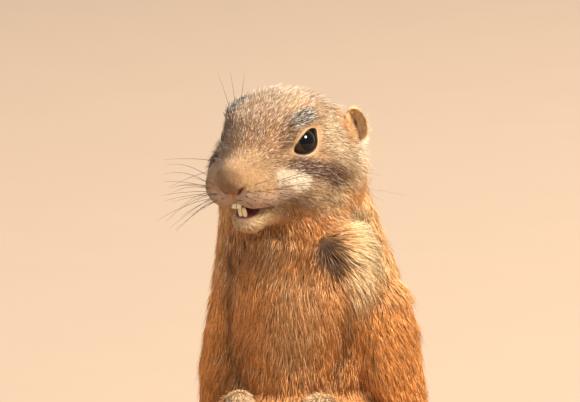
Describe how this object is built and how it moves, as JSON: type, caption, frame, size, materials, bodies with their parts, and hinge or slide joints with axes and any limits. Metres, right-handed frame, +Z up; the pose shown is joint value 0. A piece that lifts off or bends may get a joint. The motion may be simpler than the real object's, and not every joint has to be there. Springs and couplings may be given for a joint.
{
  "type": "prairie dog figure",
  "caption": "Life-size prairie dog sitting upright on its haunches, forepaws hanging, head turned aside, mouth slightly open, short pale-tipped tail.",
  "frame": {"origin": "point on the floor under the middle of the whole outline's box", "axes": "+X towards the animal's left side, -Y the way its body faces, +Z up from the floor it sits on"},
  "size_m": [0.1112, 0.1844, 0.264],
  "materials": {
    "coat": "dense orange-tan fur",
    "face": "short grizzled tan fur",
    "pale_fur": "very short pale buff fur",
    "ear": "short fur over thin skin",
    "tail_tip": "white-tipped fur",
    "eye": "wet, near-black brown",
    "tooth": "smooth pale yellow enamel",
    "claw": "dark satin horn"
  },
  "bodies": {
    "root": {"upper_arm_left": "coat", "forearm_left": "coat", "forepaw_left": "pale_fur", "claw_forepaw_left_1": "claw", "claw_forepaw_left_2": "claw", "claw_forepaw_left_3": "claw", "claw_forepaw_left_4": "claw", "claw_forepaw_left_5": "claw", "hind_foot_left": "pale_fur", "claw_hind_left_1": "claw", "claw_hind_left_2": "claw", "claw_hind_left_3": "claw", "claw_hind_left_4": "claw", "claw_hind_left_5": "claw", "thigh_left": "coat", "lower_leg_left": "coat", "upper_arm_right": "coat", "forearm_right": "coat", "forepaw_right": "pale_fur", "claw_forepaw_right_1": "claw", "claw_forepaw_right_2": "claw", "claw_forepaw_right_3": "claw", "claw_forepaw_right_4": "claw", "claw_forepaw_right_5": "claw", "hind_foot_right": "pale_fur", "claw_hind_right_1": "claw", "claw_hind_right_2": "claw", "claw_hind_right_3": "claw", "claw_hind_right_4": "claw", "claw_hind_right_5": "claw", "thigh_right": "coat", "lower_leg_right": "coat", "tail_tip": "tail_tip", "tail_base": "coat", "neck": "coat", "chest": "coat", "belly": "coat", "lower_incisors": "tooth", "upper_incisors": "tooth", "lower_jaw": "face", "eye_left": "eye", "ear_left": "ear", "eye_right": "eye", "ear_right": "ear", "head": "face"}
  },
  "joints": []
}
